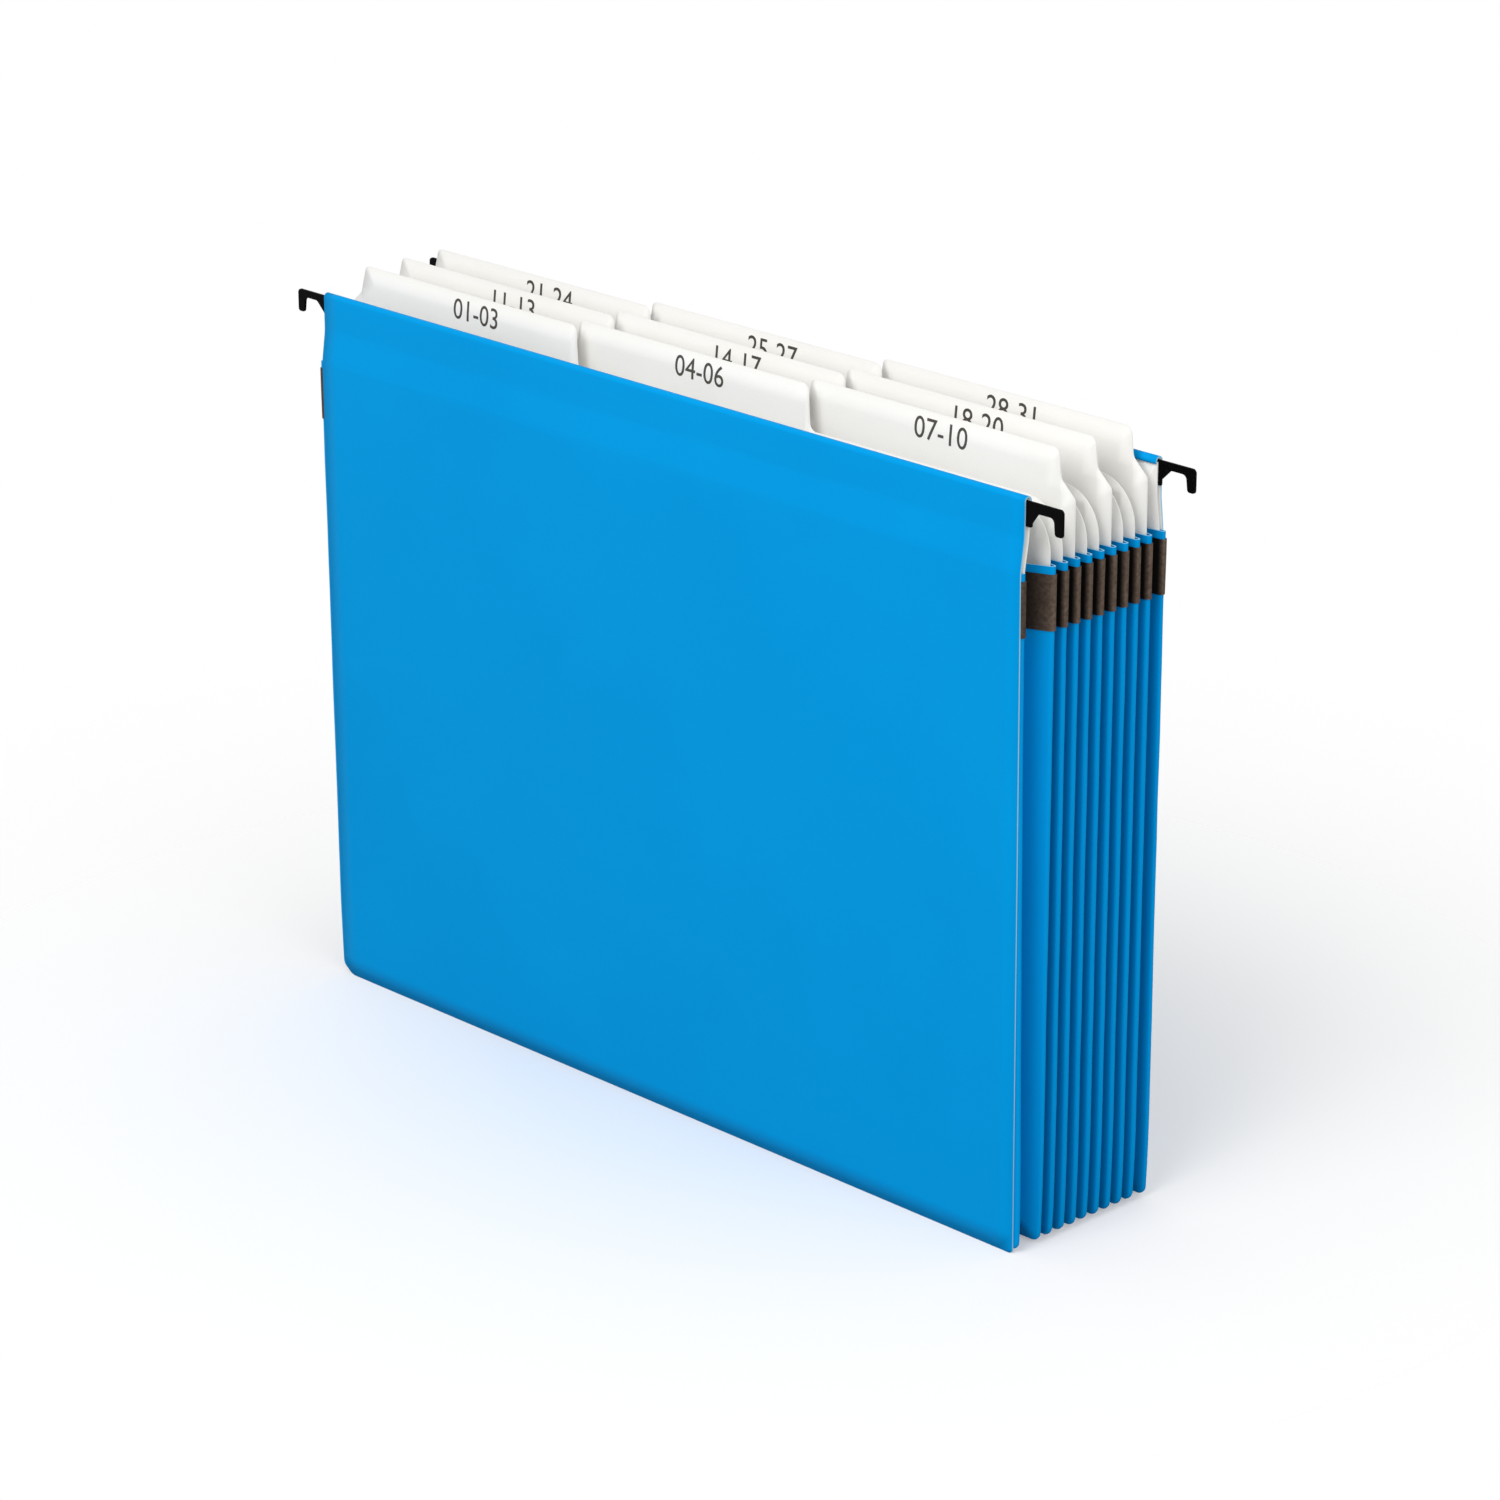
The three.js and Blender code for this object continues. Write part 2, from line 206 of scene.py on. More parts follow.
def soft_light(name, place, power):
    light = bpy.data.lights.new(name, "AREA")
    light.shape = "DISK"
    light.size = LIGHT_SIZE
    light.energy = power
    holder = bpy.data.objects.new(name, light)
    bpy.context.scene.collection.objects.link(holder)
    holder.location = place
    holder.rotation_euler = (CAMERA_TARGET - place).to_track_quat("-Z", "Y").to_euler()


def seen_as_white(graph):
    """1 for the rays that show a surface, straight to the camera, in a gloss or through glass."""
    rays = graph.node("ShaderNodeLightPath", {}, {}, "Is Camera Ray")
    return rays + rays.other("Is Glossy Ray") + rays.other("Is Transmission Ray")


def white_backdrop():
    world = bpy.data.worlds.new("backdrop")
    world.use_nodes = True
    world.node_tree.nodes.clear()
    graph = Graph(world.node_tree)
    sky = graph.node("ShaderNodeBackground", {}, {"Color": (1, 1, 1, 1), "Strength": SKY_STRENGTH})
    white = graph.node("ShaderNodeBackground", {}, {"Color": (1, 1, 1, 1), "Strength": 1.0})
    both = graph.node("ShaderNodeMixShader", {}, {0: seen_as_white(graph), 1: sky, 2: white})
    graph.node("ShaderNodeOutputWorld", {}, {"Surface": both})
    bpy.context.scene.world = world


def pale_floor():
    mesh = bpy.data.meshes.new("floor")
    disc = bmesh.new()
    bmesh.ops.create_circle(disc, cap_ends=True, radius=FLOOR_RADIUS, segments=FLOOR_SEGMENTS)
    disc.to_mesh(mesh)
    disc.free()
    floor = bpy.data.objects.new("floor", mesh)
    bpy.context.scene.collection.objects.link(floor)
    material, graph, shader, place = new_material("floor_paper")
    seen = seen_as_white(graph)
    graph.feed(shader.inputs["Base Color"], graph.colours(seen, FLOOR_BOUNCE, FLOOR_COLOUR))
    shader.inputs["Roughness"].default_value = FLOOR_ROUGHNESS
    distance = graph.math("LENGTH", place).other("Value")
    fade = graph.clamp((distance - FLOOR_FADE_START) / (FLOOR_RADIUS - FLOOR_FADE_START))
    clear = graph.node("ShaderNodeBsdfTransparent", {}, {})
    lit = Value(graph, shader.outputs[0])
    away = graph.math("SINE", fade * (math.pi / 2)) * seen
    both = graph.node("ShaderNodeMixShader", {}, {0: away, 1: lit, 2: clear})
    graph.feed(material.node_tree.nodes["Material Output"].inputs["Surface"], both)
    mesh.materials.append(material)


soft_light("key", KEY_PLACE, KEY_POWER)
soft_light("fill", FILL_PLACE, FILL_POWER)
white_backdrop()
pale_floor()


# Card, as every sheet of the file is made of: coated on both sides, with a pale core that shows
# where it was cut. A sheet is drawn flat, folded along straight lines and then given its thickness.
COVER_CARD = 0.5 * MM
INNER_CARD = 0.35 * MM
CARD_CELL = 6 * MM
ARC_STEP = math.radians(10)
CARD_GLOSS = 0.03
CARD_CLOUDS = 45 * MM
CARD_FIBRES = 0.7 * MM
CUT_FIBRES = 0.25 * MM
# Painted shade: how strongly the card is darkened deep in the pleats, towards the darker pleat blue.
PLEAT_SHADE_TINT = 0.5
COVER_BLUE = srgb(0, 155, 226)
COVER_BLUE_DEEP = srgb(0, 150, 221)
# Painted shade: the darker blue that the card is painted deep in the pleats, where they lie in shadow.
PLEAT_SHADE_BLUE = srgb(0, 132, 200)
COVER_CORE = srgb(165, 213, 240)
SHEET_WHITE = srgb(244, 243, 240)
SHEET_WHITE_DEEP = srgb(238, 237, 233)
SHEET_CORE = srgb(250, 250, 248)


def card_material(name, colour, deeper, pleat_shade_colour, roughness):
    """Coated card: paper fibres in the bump and the gloss, and a faint cloudiness in the colour.

    Deep in the pleats it is painted darker: painted shade for the shadow that the folds hold there.
    """
    material, graph, shader, place = new_material(name)
    clouds = graph.noise(place, CARD_CLOUDS, 3.0)
    fibres = graph.noise(place, CARD_FIBRES, 4.0)
    tint = graph.clamp(clouds * 1.6 - 0.3 + (fibres - 0.5) * 0.8)
    pleat_shade_depth = graph.node("ShaderNodeAttribute", {"attribute_name": "pleat_shade_depth"}, {}, "Fac")
    outside = graph.colours(tint, colour, deeper)
    # Painted shade: the colour goes towards the shade colour with depth into the pleats, read from the
    # stored attribute.
    graph.feed(shader.inputs["Base Color"], graph.colours(pleat_shade_depth * PLEAT_SHADE_TINT, outside, pleat_shade_colour))
    graph.feed(shader.inputs["Roughness"], roughness + (fibres - 0.5) * 0.12)
    bump = {"Height": fibres, "Strength": 0.12, "Distance": 0.05 * MM}
    graph.feed(shader.inputs["Normal"], graph.node("ShaderNodeBump", {}, bump))
    shader.inputs["Specular IOR Level"].default_value = CARD_GLOSS
    return material


def cut_edge_material(name, colour, shade):
    """The core of cut card: matt, with the short fibres that a blade leaves."""
    material, graph, shader, place = new_material(name)
    fibres = graph.noise(place, CUT_FIBRES, 3.0)
    graph.feed(shader.inputs["Base Color"], graph.colours(fibres, colour, shade))
    shader.inputs["Roughness"].default_value = 0.85
    bump = {"Height": fibres, "Strength": 0.4, "Distance": 0.05 * MM}
    graph.feed(shader.inputs["Normal"], graph.node("ShaderNodeBump", {}, bump))
    return material


blue_card = card_material("blue_card", COVER_BLUE, COVER_BLUE_DEEP, PLEAT_SHADE_BLUE, 0.5)
blue_edge = cut_edge_material("blue_card_edge", COVER_CORE, srgb(130, 196, 232))
white_card = card_material("white_card", SHEET_WHITE, SHEET_WHITE_DEEP, SHEET_WHITE, 0.6)
white_edge = cut_edge_material("white_card_edge", SHEET_CORE, srgb(236, 235, 231))


def new_tree(name, inputs):
    """A geometry tree with these named inputs: its graph, and each input as a value."""
    tree = bpy.data.node_groups.new(name, "GeometryNodeTree")
    tree.interface.new_socket("Geometry", in_out="INPUT", socket_type="NodeSocketGeometry")
    tree.interface.new_socket("Geometry", in_out="OUTPUT", socket_type="NodeSocketGeometry")
    for label, kind in inputs.items():
        tree.interface.new_socket(label, in_out="INPUT", socket_type="NodeSocket" + kind)
    graph = Graph(tree)
    entry = tree.nodes.new("NodeGroupInput")
    return graph, {socket.name: Value(graph, socket) for socket in entry.outputs if socket.name}


def shaded_and_cut(graph, geometry, edges, edge_material):
    """Ends a tree: smooth faces, and crisp cut edges in their own material."""
    smooth = graph.node("FunctionNodeBooleanMath", {"operation": "NOT"}, {0: edges})
    shading = {"Geometry": geometry, "Shade Smooth": smooth}
    geometry = graph.node("GeometryNodeSetShadeSmooth", {"domain": "FACE"}, shading)
    geometry = graph.node("GeometryNodeRealizeInstances", {}, {"Geometry": geometry})
    cut = {"Geometry": geometry, "Selection": edges, "Material": edge_material}
    geometry = graph.node("GeometryNodeSetMaterial", {}, cut)
    graph.node("NodeGroupOutput", {}, {0: geometry})


def card_tree():
    """Gives a folded sheet its waves, its curl at the top and its thickness."""
    graph, given = new_tree("Folded Card", {
        "Thickness": "Float", "Wave Height": "Float", "Wave Size": "Float", "Wave Level": "Float",
        "Seed": "Float", "Half Width": "Float", "Held Margin": "Float", "Free Margin": "Float",
        "Held Top": "Float", "Curl": "Float", "Curl Start": "Float", "Curl Height": "Float",
        "Face Material": "Material", "Back Material": "Material", "Edge Material": "Material",
    })
    place = graph.node("GeometryNodeInputPosition", {}, {})
    x, _, z = graph.split(place)
    from_side = given["Half Width"] - graph.math("ABSOLUTE", x)
    nearest = graph.math("MINIMUM", graph.math("MINIMUM", from_side, z), given["Held Top"] - z)
    free = graph.node(
        "ShaderNodeMapRange", {"interpolation_type": "SMOOTHSTEP"},
        {"Value": nearest, "From Min": given["Held Margin"], "From Max": given["Free Margin"]})
    noise = graph.noise(place, 1.0, 1.0, given["Seed"])
    graph.feed(noise.socket.node.inputs["Scale"], 1 / given["Wave Size"])
    wave = (noise - given["Wave Level"]) * 2 * given["Wave Height"] * free
    rise = graph.clamp((z - given["Curl Start"]) / given["Curl Height"])
    curl = rise * rise * given["Curl"]
    moved = graph.node("GeometryNodeSetPosition", {}, {
        "Geometry": given["Geometry"], "Offset": graph.vector(0.0, wave + curl, 0.0)})
    normal = graph.node("GeometryNodeInputNormal", {}, {})
    back_face = graph.node("GeometryNodeSetPosition", {}, {
        "Geometry": moved, "Offset": normal * (given["Thickness"] * -0.5)})
    solid = graph.node("GeometryNodeExtrudeMesh", {"mode": "FACES"}, {
        "Mesh": back_face, "Offset Scale": given["Thickness"], "Individual": False})
    edges = solid.other("Side")
    front = graph.node("GeometryNodeSetMaterial", {}, {
        "Geometry": solid, "Material": given["Face Material"]})
    other_side = graph.node("GeometryNodeFlipFaces", {}, {"Mesh": back_face})
    back = graph.node("GeometryNodeSetMaterial", {}, {
        "Geometry": other_side, "Material": given["Back Material"]})
    joined = graph.tree.nodes.new("GeometryNodeJoinGeometry")
    graph.feed(joined.inputs[0], front)
    graph.feed(joined.inputs[0], back)
    closed = graph.node("GeometryNodeMergeByDistance", {}, {
        "Geometry": Value(graph, joined.outputs[0]), "Distance": 0.001 * MM})
    shaded_and_cut(graph, closed, edges, given["Edge Material"])
    return graph.tree


folded_card = card_tree()


def grown(piece, tree, inputs):
    """Runs a tree on a piece with these inputs and keeps the result as its plain mesh."""
    bpy.context.scene.collection.objects.link(piece)
    modifier = piece.modifiers.new(tree.name, "NODES")
    modifier.node_group = tree
    for item in tree.interface.items_tree:
        if item.in_out == "INPUT" and item.name in inputs:
            modifier[item.identifier] = inputs[item.name]
    evaluated = piece.evaluated_get(bpy.context.evaluated_depsgraph_get())
    mesh = bpy.data.meshes.new_from_object(evaluated)
    piece.modifiers.remove(modifier)
    piece.data = mesh
    return piece


def rounded(corners):
    """The points of an outline through (u, v, radius) corners, each rounded by an arc."""
    points = []
    for i, (u, v, radius) in enumerate(corners):
        corner = Vector((u, v))
        before = Vector(corners[i - 1][:2]) - corner
        after = Vector(corners[(i + 1) % len(corners)][:2]) - corner
        half_angle = before.angle(after) / 2
        tangent = min(radius / math.tan(half_angle), 0.45 * min(before.length, after.length))
        radius = tangent * math.tan(half_angle)
        inwards = (before.normalized() + after.normalized()).normalized()
        centre = corner + inwards * radius / math.sin(half_angle)
        start = corner + before.normalized() * tangent - centre
        end = corner + after.normalized() * tangent - centre
        first = math.atan2(start.y, start.x)
        turn = (math.atan2(end.y, end.x) - first + math.pi) % (2 * math.pi) - math.pi
        steps = max(1, math.ceil(abs(turn) / ARC_STEP))
        for step in range(steps + 1):
            angle = first + turn * step / steps
            points.append(centre + radius * Vector((math.cos(angle), math.sin(angle))))
    return points


def aside(heading, distance):
    """A step to the right of a heading, in the plane of a fold."""
    return distance * Vector((math.sin(heading), -math.cos(heading)))


def fold(centre, radius, start, end, steps):
    """Samples (point, heading) round a fold; one that turns left has its centre on the left."""
    side = radius if end > start else -radius
    headings = [start + (end - start) * i / steps for i in range(steps + 1)]
    return [(centre + aside(heading, side), heading) for heading in headings]


def bent_line(points, steps):
    """Samples (point, heading) through (u, v, bend radius) points, bent at all but the ends."""
    spots = [Vector(point[:2]) for point in points]
    runs = [b - a for a, b in zip(spots, spots[1:])]
    headings = [math.atan2(run.y, run.x) for run in runs]
    line = [(spots[0], headings[0])]
    for i in range(1, len(spots) - 1):
        start = headings[i - 1]
        turn = (headings[i] - start + math.pi) % (2 * math.pi) - math.pi
        radius = points[i][2]
        entry = spots[i] - runs[i - 1].normalized() * radius * math.tan(abs(turn) / 2)
        centre = entry + aside(start, -radius if turn > 0 else radius)
        line += fold(centre, radius, start, start + turn, steps)
    line.append((spots[-1], headings[-1]))
    return line


def spaced(start, end, step):
    """Evenly spaced places between two ends, without the ends."""
    count = max(1, round((end - start) / step))
    return [start + (end - start) * i / count for i in range(1, count)]


def card_sheet(name, outline, line, inputs):
    """A sheet of card: an outline in (x, length along the card), folded along a line in YZ."""
    lengths = [0.0]
    for (point, _), (following, _) in zip(line, line[1:]):
        lengths.append(lengths[-1] + (following - point).length)
    sheet = bmesh.new()
    corners = [sheet.verts.new((u, 0, v)) for u, v in outline]
    sheet.faces.new(corners)
    low, high = min(u for u, _ in outline), max(u for u, _ in outline)
    cuts = [((x, 0, 0), (1, 0, 0)) for x in spaced(low, high, CARD_CELL)]
    cuts += [((0, 0, length), (0, 0, 1)) for length in lengths[1:-1]]
    for before, after in zip(lengths, lengths[1:]):
        cuts += [((0, 0, length), (0, 0, 1)) for length in spaced(before, after, CARD_CELL)]
    for place, direction in cuts:
        everything = sheet.verts[:] + sheet.edges[:] + sheet.faces[:]
        bmesh.ops.bisect_plane(sheet, geom=everything, dist=1e-7, plane_co=place, plane_no=direction)
    for vert in sheet.verts:
        along = min(max(vert.co.z, 0.0), lengths[-1])
        i = max(j for j in range(len(lengths) - 1) if lengths[j] <= along + 1e-9)
        share = (along - lengths[i]) / max(lengths[i + 1] - lengths[i], 1e-9)
        point = line[i][0].lerp(line[i + 1][0], share)
        vert.co = (vert.co.x, point.x, point.y)
    mesh = bpy.data.meshes.new(name)
    sheet.to_mesh(mesh)
    sheet.free()
    return grown(bpy.data.objects.new(name, mesh), folded_card, inputs)


def length_of(line):
    return sum((b[0] - a[0]).length for a, b in zip(line, line[1:]))


# Covers: two blue panels whose tops are folded inwards over the hanger rods, each with a white
# lining glued behind it. The front one leans out a little, as the file is filled from the top.
front_low, front_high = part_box("front_panel")
gusset_low, gusset_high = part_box("gusset")
HALF_WIDTH = front_high.x
COVER_HEIGHT = front_high.z
GUSSET_TOP = gusset_high.z
COVER_ROUND_CORNER = 6 * MM
COVER_SQUARE_CORNER = 1.5 * MM
COVER_BEND_RADIUS = 20 * MM
FRONT_SETBACK = 2 * MM
FRONT_HEM_INSET = 1.4 * MM
BACK_HEM_INSET = 1.2 * MM
HEM_SLANT = 10 * MM
HEM_FLAP = 2.1 * MM
SQUARE_CUT = 0.2 * MM
LINING_CORNER = 1.5 * MM
GLUE_GAP = 0.2 * MM
ROD_THICKNESS = 0.9 * MM
LINING_TOP_GAP = 1.2 * MM
FLANGE_WIDTH = 12 * MM
FOLD_STEPS = 10
hem_bottom = GUSSET_TOP + HEM_SLANT
hem_fold_radius = (ROD_THICKNESS + INNER_CARD + 3 * GLUE_GAP + COVER_CARD) / 2
cover_to_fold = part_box("front_liner")[0].y + INNER_CARD / 2 - front_low.y
sheet_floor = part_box("front_liner")[0].z


def on_cover(face, side, line):
    """A fold line measured from a cover's outer face, inwards, as one in the file's YZ."""
    return [(Vector((face + side * point.x, point.y)), heading) for point, heading in line]


def cover_panel(node, face, side, hem_inset, setback):
    middle = COVER_CARD / 2
    outside = hem_inset + middle
    inside = outside + 2 * hem_fold_radius
    crown = COVER_HEIGHT - middle
    line = on_cover(face, side, bent_line([
        (middle + setback, 0, 0),
        (middle, GUSSET_TOP, COVER_BEND_RADIUS),
        (outside, hem_bottom, COVER_BEND_RADIUS),
        (outside, crown, hem_fold_radius),
        (inside, crown, hem_fold_radius),
        (inside, COVER_HEIGHT - HEM_FLAP, 0),
    ], FOLD_STEPS))
    end = length_of(line)
    left_corner, right_corner = (COVER_ROUND_CORNER, COVER_SQUARE_CORNER)[::side]
    outline = rounded([
        (-HALF_WIDTH, 0, left_corner), (HALF_WIDTH, 0, right_corner),
        (HALF_WIDTH, end, SQUARE_CUT), (-HALF_WIDTH, end, SQUARE_CUT),
    ])
    outer, inner = (blue_card, white_card) if side > 0 else (white_card, blue_card)
    panel = card_sheet(node + "_card", outline, line, {
        "Thickness": COVER_CARD,
        "Wave Height": side * 0.5 * MM, "Wave Size": 110 * MM, "Wave Level": 0.25, "Seed": 3.0 + side,
        "Half Width": HALF_WIDTH, "Held Margin": FLANGE_WIDTH, "Free Margin": 50 * MM,
        "Held Top": hem_bottom, "Curl Start": COVER_HEIGHT, "Curl Height": 1.0,
        "Face Material": outer, "Back Material": inner, "Edge Material": blue_edge,
    })
    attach(panel, "root")
    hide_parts(node)


def cover_lining(node, face, side, hem_inset, setback):
    in_hem = hem_inset + COVER_CARD + 2 * GLUE_GAP + ROD_THICKNESS + INNER_CARD / 2
    line = on_cover(face, side, bent_line([
        (cover_to_fold + setback * (1 - sheet_floor / GUSSET_TOP), sheet_floor, 0),
        (cover_to_fold, GUSSET_TOP, COVER_BEND_RADIUS),
        (in_hem, hem_bottom, COVER_BEND_RADIUS),
        (in_hem, COVER_HEIGHT - COVER_CARD - LINING_TOP_GAP, 0),
    ], FOLD_STEPS))
    end = length_of(line)
    outline = rounded([
        (-HALF_WIDTH, 0, LINING_CORNER), (HALF_WIDTH, 0, LINING_CORNER),
        (HALF_WIDTH, end, SQUARE_CUT), (-HALF_WIDTH, end, SQUARE_CUT),
    ])
    lining = card_sheet(node + "_card", outline, line, {
        "Thickness": INNER_CARD,
        "Wave Height": 0.2 * MM, "Wave Size": 90 * MM, "Wave Level": 0.5, "Seed": 7.0 + side,
        "Half Width": HALF_WIDTH, "Held Margin": FLANGE_WIDTH, "Free Margin": 50 * MM,
        "Held Top": hem_bottom, "Curl Start": COVER_HEIGHT, "Curl Height": 1.0,
        "Face Material": white_card, "Back Material": white_card, "Edge Material": white_edge,
    })
    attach(lining, "root")
    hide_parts(node)


front_face = front_low.y
back_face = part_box("back_panel")[1].y
cover_panel("front_panel", front_face, 1, FRONT_HEM_INSET, FRONT_SETBACK)
cover_lining("front_liner", front_face, 1, FRONT_HEM_INSET, FRONT_SETBACK)
cover_panel("back_panel", back_face, -1, BACK_HEM_INSET, 0)
cover_lining("back_liner", back_face, -1, BACK_HEM_INSET, 0)


# Hanger rods: flat black steel bars in the hems, stamped with a hook at each end that hangs over
# the rails of a drawer. The back rod is the front one turned round.
ROD_DEPTH = 7.5 * MM
HOOK_NOSE_RADIUS = 1.3 * MM
HOOK_TIP_RADIUS = 0.9 * MM
HOOK_ROOF_RADIUS = 1.5 * MM
HOOK_HEEL_RADIUS = 0.4 * MM
LARGE_HOOK = {
    "drop": 8, "bar": 3, "leg": 3.4, "tip": 2.9, "roof": 5.8, "reach": 11.7, "slope": 3.3}
SMALL_HOOK = {
    "drop": 7.2, "bar": 2.3, "leg": 3.4, "tip": 2.8, "roof": 5.7, "reach": 12.6, "slope": 3.4}
ROD_BEVEL = 0.18 * MM
ROD_SKIN = 1.6 * MM
ROD_MARKS = 6 * MM
MOSTLY_SIDEWAYS = 0.9
ALL_SIDEWAYS = 0.99


def painted_steel():
    """Black enamel on stamped steel: satin, a little uneven, with fine handling marks."""
    material, graph, shader, place = new_material("black_enamel")
    shader.inputs["Metallic"].default_value = 0.0
    shader.inputs["Specular IOR Level"].default_value = 0.02
    skin = graph.noise(place, ROD_SKIN, 3.0)
    marks = graph.noise(place, ROD_MARKS, 5.0)
    graph.feed(shader.inputs["Base Color"], graph.colours(marks, srgb(4, 4, 5), srgb(11, 11, 12)))
    graph.feed(shader.inputs["Roughness"], 0.28 + marks * 0.2)
    bump = {"Height": skin, "Strength": 0.15, "Distance": 0.08 * MM}
    graph.feed(shader.inputs["Normal"], graph.node("ShaderNodeBump", {}, bump))
    return material


black_enamel = painted_steel()


def hook_corners(hook, end, top, side):
    """One end of a rod, from the bottom of its body round the hook to the top, as outline corners."""
    size = {name: value * MM for name, value in hook.items()}
    corners = [
        (size["reach"], ROD_DEPTH, HOOK_HEEL_RADIUS),
        (size["reach"], size["bar"] + size["slope"], HOOK_HEEL_RADIUS),
        (size["leg"] + size["roof"], size["bar"], HOOK_ROOF_RADIUS),
        (size["leg"], size["bar"], HOOK_ROOF_RADIUS),
        (size["tip"], size["drop"], HOOK_TIP_RADIUS),
        (0, size["drop"], HOOK_TIP_RADIUS),
        (0, 0, HOOK_NOSE_RADIUS),
    ]
    return [(side * (end - along), top - down, radius) for along, down, radius in corners]


def in_fixed_order(shape):
    """The points and faces of a shape, in the order of their places: a bevel's own one varies."""
    ranked = sorted(shape.verts, key=lambda vert: vert.co[:])
    numbers = {vert: i for i, vert in enumerate(ranked)}
    faces = []
    for face in shape.faces:
        ring = [numbers[vert] for vert in face.verts]
        first = ring.index(min(ring))
        faces.append(ring[first:] + ring[:first])
    return [vert.co[:] for vert in ranked], sorted(faces)


def hanger_rod(node, side):
    low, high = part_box(node)
    right = hook_corners(LARGE_HOOK, high.x, high.z, side)
    left = hook_corners(SMALL_HOOK, high.x, high.z, -side)
    plate = bmesh.new()
    front = [plate.verts.new((u, low.y, v)) for u, v in rounded(right + left[::-1])]
    back = bmesh.ops.extrude_face_region(plate, geom=[plate.faces.new(front)])["geom"]
    far_side = [part for part in back if isinstance(part, bmesh.types.BMVert)]
    bmesh.ops.translate(plate, vec=(0, high.y - low.y, 0), verts=far_side)
    bmesh.ops.recalc_face_normals(plate, faces=plate.faces)
    flat = [f for f in plate.faces if abs(f.normal.y) > MOSTLY_SIDEWAYS]
    rim = dict.fromkeys(edge for face in flat for edge in face.edges)
    bmesh.ops.bevel(
        plate, geom=list(rim), offset=ROD_BEVEL, segments=3, profile=0.5, affect="EDGES")
    bmesh.ops.triangulate(plate, faces=[f for f in plate.faces if len(f.verts) > 4])
    mesh = bpy.data.meshes.new(node)
    points, faces = in_fixed_order(plate)
    mesh.from_pydata(points, [], faces)
    plate.free()
    for polygon in mesh.polygons:
        polygon.use_smooth = abs(polygon.normal.y) < ALL_SIDEWAYS
    mesh.materials.append(black_enamel)
    rod = bpy.data.objects.new(node + "_steel", mesh)
    bpy.context.scene.collection.objects.link(rod)
    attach(rod, "root")
    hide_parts(node)


hanger_rod("front_rod", 1)
hanger_rod("back_rod", -1)


# Bellows gusset: one long strip of blue card, pleated like an accordion, that runs down one side,
# along the bottom and up the other. It is bent round the corners and glued behind both covers.
GUSSET_CARD = 0.5 * MM
FOLD_PLAY = 0.325 * MM
VALLEY_RADIUS = 0.9 * MM
END_CREST_RADIUS = 0.5 * MM
LEAF_LENGTH = 9.5 * MM
GUSSET_CORNER = 3.5 * MM
TIGHTEST_CORNER = 0.8 * MM
FRONT_TUCK = 1.6 * MM
# Painted shade: the depth into a pleat at which the painted darkening of card and cloth is full.
PLEAT_SHADE_ROOM = 1.4 * MM
CORNER_DRAW = 0.5 * MM
CORNER_DRAW_HEIGHT = 28 * MM
CREST_STEPS = 8
VALLEY_STEPS = 5
PATH_LEFT_TOP, PATH_MIDDLE, PATH_RIGHT_TOP = 0.0, 2.5, 5.0
PATH_TO_SIDE = 1.5
PATH_SLACK = 0.001
UNEVEN_BY_DEPTH, UNEVEN_BY_HEIGHT, UNEVEN_BY_SIDE = 90, 7, 20
UNEVENNESS = 0.5 * MM
UNEVEN_LEVEL = 0.75
# Painted shade: in the first, wider pocket the darkening reaches full over this many times that depth.
FIRST_PLEAT_ROOM = 6
RINGS_PER_STRETCH = 30
crest_radius = INNER_CARD / 2 + FOLD_PLAY + GUSSET_CARD / 2
end_crest_depth = END_CREST_RADIUS + GUSSET_CARD / 2
divider_names = sorted(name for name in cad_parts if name.startswith("divider_"))
divider_places = [sum(corner.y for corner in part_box(name)) / 2 for name in divider_names]
crest_places = [gusset_low.y + end_crest_depth] + divider_places + [gusset_high.y - end_crest_depth]


def leaf_heading(start, end, from_crest):
    """The heading of the straight leaf between two folds that turn opposite ways."""
    span = end[0] - start[0]
    lean = math.asin((start[1] + end[1]) / span.length)
    return math.atan2(span.y, span.x) + (lean if from_crest else -lean)


def pleat_line(reach):
    """The zigzag from the flange behind the front cover to the one before the back cover."""
    folds = []
    for i, here in enumerate(crest_places):
        if i > 0:
            half = (here - crest_places[i - 1]) / 2
            depth = crest_radius + GUSSET_CARD / 2 + math.sqrt(LEAF_LENGTH ** 2 - half ** 2)
            folds.append((Vector((-depth, here - half)), VALLEY_RADIUS, VALLEY_STEPS))
        radius = crest_radius if 0 < i < len(crest_places) - 1 else END_CREST_RADIUS
        folds.append((Vector((-(radius + GUSSET_CARD / 2), here)), radius, CREST_STEPS))
    leaves = [leaf_heading(a, b, i % 2 == 0) for i, (a, b) in enumerate(zip(folds, folds[1:]))]
    headings = [0.0] + leaves + [math.pi]
    line = []
    for (centre, radius, steps), start, end in zip(folds, headings, headings[1:]):
        line += fold(centre, radius, start, end, steps)
    first = (Vector((-reach, line[0][0].y)), 0.0)
    last = (Vector((-reach, line[-1][0].y)), math.pi)
    return [first] + line + [last]


def band_outline(line, offset, thickness):
    """The outline of a band of that thickness which follows a line at an offset to its right."""
    far = [point + aside(heading, offset + thickness / 2) for point, heading in line]
    near = [point + aside(heading, offset - thickness / 2) for point, heading in line]
    return far + near[::-1]


